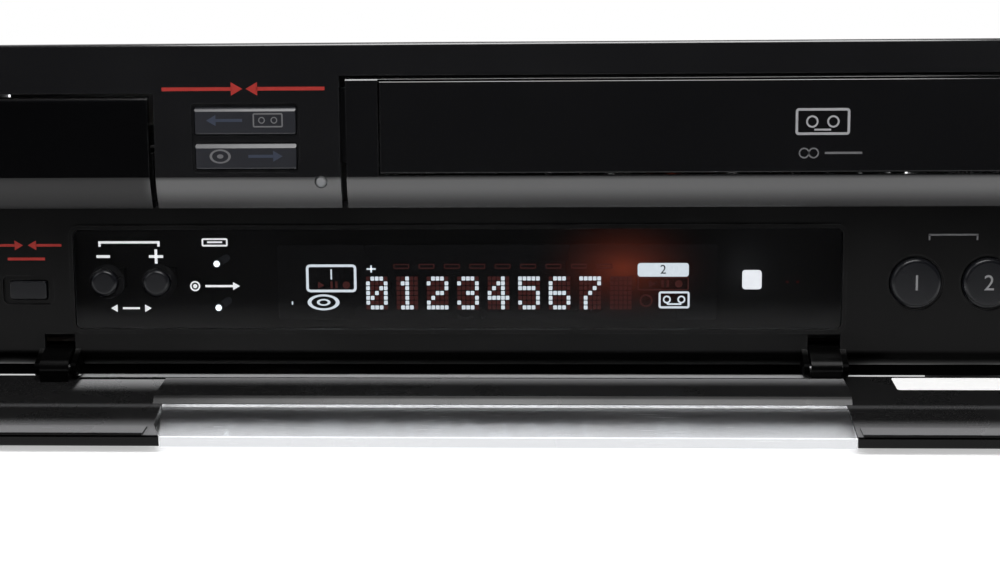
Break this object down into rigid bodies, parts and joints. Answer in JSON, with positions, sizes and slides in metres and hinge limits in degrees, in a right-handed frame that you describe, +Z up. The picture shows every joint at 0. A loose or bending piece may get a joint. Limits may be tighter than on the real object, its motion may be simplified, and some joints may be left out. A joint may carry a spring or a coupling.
{
  "type": "dvd vcr combo player",
  "caption": "A wide low black disc recorder and cassette deck with a tray, a cassette flap, a lit display, buttons and a hinged front door hanging open.",
  "frame": {"origin": "middle of the bounding box in X and Y, at the level the feet stand on", "axes": "+X to the right seen from the front, +Y from the front to the back, +Z up"},
  "size_m": [0.4332, 0.3788, 0.1075],
  "materials": {
    "gloss_black": "polished moulding",
    "satin_black": "fine satin moulding",
    "key_black": "soft gloss",
    "smoked_window": "dark tinted acrylic",
    "clear_window": "clear acrylic",
    "hood_paint": "fine textured paint",
    "zinc_steel": "zinc plated sheet",
    "bright_steel": "ground and plated",
    "drum_alloy": "turned",
    "frame_plastic": "glass filled moulding",
    "white_plastic": "natural acetal",
    "board_green": "printed circuit laminate",
    "board_brown": "printed circuit laminate",
    "tube_glass": "sealed glass",
    "socket_black": "moulded",
    "foot_rubber": "moulded"
  },
  "bodies": {
    "unit": {"chassis_pan": "zinc_steel", "feet": "foot_rubber", "top_cover": "hood_paint", "cover_screws": "bright_steel", "rear_panel": "zinc_steel", "front_fascia": "gloss_black", "cassette_surround": "gloss_black", "control_panel": "satin_black", "display_window": "smoked_window", "indicator_pipes": "clear_window", "indicator_lamp": "clear_window", "door_hinge_pins": "bright_steel", "front_board": "board_brown", "display_tube": "tube_glass", "front_jacks": "socket_black", "loader_frame": "frame_plastic", "traverse_frame": "zinc_steel", "sled_rods": "bright_steel", "spindle_motor": "zinc_steel", "clamp_bridge": "zinc_steel", "tray_motor": "zinc_steel", "loader_bracket": "zinc_steel", "power_board": "board_brown", "main_board": "board_green", "rear_jacks": "socket_black", "aerial_sockets": "zinc_steel", "digital_socket": "bright_steel", "mains_inlet": "socket_black", "deck_plate": "zinc_steel", "deck_bracket_left": "zinc_steel", "deck_bracket_right": "zinc_steel", "drum_base": "drum_alloy"},
    "front_flap_door": {"front_door": "satin_black", "door_lens": "clear_window"},
    "flap": {"cassette_flap": "gloss_black"},
    "tray": {"disc_tray": "frame_plastic", "tray_door": "gloss_black"},
    "pinion": {"tray_pinion": "white_plastic"},
    "pickup": {"optical_pickup": "frame_plastic"},
    "disc_turntable": {"turntable": "frame_plastic"},
    "clamper": {"disc_clamper": "white_plastic"},
    "slides": {"carriage_sliders": "zinc_steel"},
    "carriage": {"cassette_carriage": "zinc_steel"},
    "drum": {"head_drum": "drum_alloy"},
    "capstan_shaft": {"capstan": "bright_steel"},
    "supply_reel": {"supply_reel_table": "frame_plastic"},
    "take_up_reel": {"take_up_reel_table": "frame_plastic"},
    "pinch_lever": {"pinch_arm": "zinc_steel"},
    "disc_select_button_body": {"disc_select_button": "key_black"},
    "tape_select_button_body": {"tape_select_button": "key_black"},
    "cassette_eject_button_body": {"cassette_eject_button": "key_black"},
    "power_button_body": {"power_button": "key_black"},
    "minus_button_body": {"minus_button": "key_black"},
    "plus_button_body": {"plus_button": "key_black"},
    "dubbing_key_body": {"dubbing_key": "key_black"},
    "open_close_key_body": {"open_close_key": "key_black"},
    "play_key_body": {"play_key": "key_black"},
    "stop_key_body": {"stop_key": "key_black"},
    "dub_upper_button_body": {"dub_upper_button": "gloss_black"},
    "dub_lower_button_body": {"dub_lower_button": "gloss_black"}
  },
  "joints": [
    {"name": "door_hinge", "type": "hinge", "parent": "unit", "child": "front_flap_door", "pos_m": [0, -0.1436, 0.014], "axis": [1, 0, 0], "range_deg": [-98, 0]},
    {"name": "flap_hinge", "type": "hinge", "parent": "unit", "child": "flap", "pos_m": [0.0993, -0.1452, 0.1002], "axis": [1, 0, 0], "range_deg": [0, 88], "stiffness_Nm_per_rad": 0.004, "springref_deg": -20.05},
    {"name": "tray_slide", "type": "slide", "parent": "unit", "child": "tray", "axis": [0, -1, 0], "range_m": [0, 0.14]},
    {"name": "pinion_spin", "type": "hinge", "parent": "unit", "child": "pinion", "pos_m": [-0.18175, -0.1296, 0.064], "axis": [0, 0, 1], "range_deg": [0, 917]},
    {"name": "pickup_slide", "type": "slide", "parent": "unit", "child": "pickup", "axis": [0, 1, 0], "range_m": [0, 0.034]},
    {"name": "turntable_spin", "type": "hinge", "parent": "unit", "child": "disc_turntable", "pos_m": [-0.1336, -0.0716, 0.066], "axis": [0, 0, 1], "continuous": true},
    {"name": "clamper_lift", "type": "slide", "parent": "unit", "child": "clamper", "axis": [0, 0, 1], "range_m": [0, 0.002]},
    {"name": "carriage_run", "type": "slide", "parent": "unit", "child": "slides", "axis": [0, 1, 0], "range_m": [0, 0.062]},
    {"name": "carriage_drop", "type": "slide", "parent": "slides", "child": "carriage", "axis": [0, 0, -1], "range_m": [0, 0.018]},
    {"name": "drum_spin", "type": "hinge", "parent": "unit", "child": "drum", "pos_m": [0.0993, 0.0904, 0.05], "axis": [0, 0, 1], "continuous": true},
    {"name": "capstan_shaft_spin", "type": "hinge", "parent": "unit", "child": "capstan_shaft", "pos_m": [0.1553, 0.0724, 0.05], "axis": [0, 0, 1], "continuous": true},
    {"name": "supply_reel_spin", "type": "hinge", "parent": "unit", "child": "supply_reel", "pos_m": [0.0533, -0.00035, 0.05], "axis": [0, 0, 1], "continuous": true},
    {"name": "take_up_reel_spin", "type": "hinge", "parent": "unit", "child": "take_up_reel", "pos_m": [0.1453, -0.00035, 0.05], "axis": [0, 0, 1], "continuous": true},
    {"name": "pinch_swing", "type": "hinge", "parent": "unit", "child": "pinch_lever", "pos_m": [0.1833, 0.0764, 0.05], "axis": [0, 0, 1], "range_deg": [-28, 0], "stiffness_Nm_per_rad": 0.02},
    {"name": "disc_select_press", "type": "slide", "parent": "unit", "child": "disc_select_button_body", "axis": [0, 1, 0], "range_m": [0, 0.0008], "stiffness_N_per_m": 500},
    {"name": "tape_select_press", "type": "slide", "parent": "unit", "child": "tape_select_button_body", "axis": [0, 1, 0], "range_m": [0, 0.0008], "stiffness_N_per_m": 500},
    {"name": "cassette_eject_press", "type": "slide", "parent": "unit", "child": "cassette_eject_button_body", "axis": [0, 1, 0], "range_m": [0, 0.0008], "stiffness_N_per_m": 500},
    {"name": "power_press", "type": "slide", "parent": "unit", "child": "power_button_body", "axis": [0, 1, 0], "range_m": [0, 0.0008], "stiffness_N_per_m": 500},
    {"name": "minus_press", "type": "slide", "parent": "unit", "child": "minus_button_body", "axis": [0, 1, 0], "range_m": [0, 0.0008], "stiffness_N_per_m": 500},
    {"name": "plus_press", "type": "slide", "parent": "unit", "child": "plus_button_body", "axis": [0, 1, 0], "range_m": [0, 0.0008], "stiffness_N_per_m": 500},
    {"name": "dubbing_press", "type": "slide", "parent": "unit", "child": "dubbing_key_body", "axis": [0, 1, 0], "range_m": [0, 0.0008], "stiffness_N_per_m": 500},
    {"name": "open_close_press", "type": "slide", "parent": "unit", "child": "open_close_key_body", "axis": [0, 1, 0], "range_m": [0, 0.0008], "stiffness_N_per_m": 500},
    {"name": "play_press", "type": "slide", "parent": "unit", "child": "play_key_body", "axis": [0, 1, 0], "range_m": [0, 0.0008], "stiffness_N_per_m": 500},
    {"name": "stop_press", "type": "slide", "parent": "unit", "child": "stop_key_body", "axis": [0, 1, 0], "range_m": [0, 0.0008], "stiffness_N_per_m": 500},
    {"name": "dub_upper_press", "type": "slide", "parent": "unit", "child": "dub_upper_button_body", "axis": [0, 1, 0], "range_m": [0, 0.0008], "stiffness_N_per_m": 500},
    {"name": "dub_lower_press", "type": "slide", "parent": "unit", "child": "dub_lower_button_body", "axis": [0, 1, 0], "range_m": [0, 0.0008], "stiffness_N_per_m": 500}
  ],
  "couplings": [
    {"joint": "pinion_spin", "follows": "tray_slide", "rad_per_m": 114.29}
  ]
}
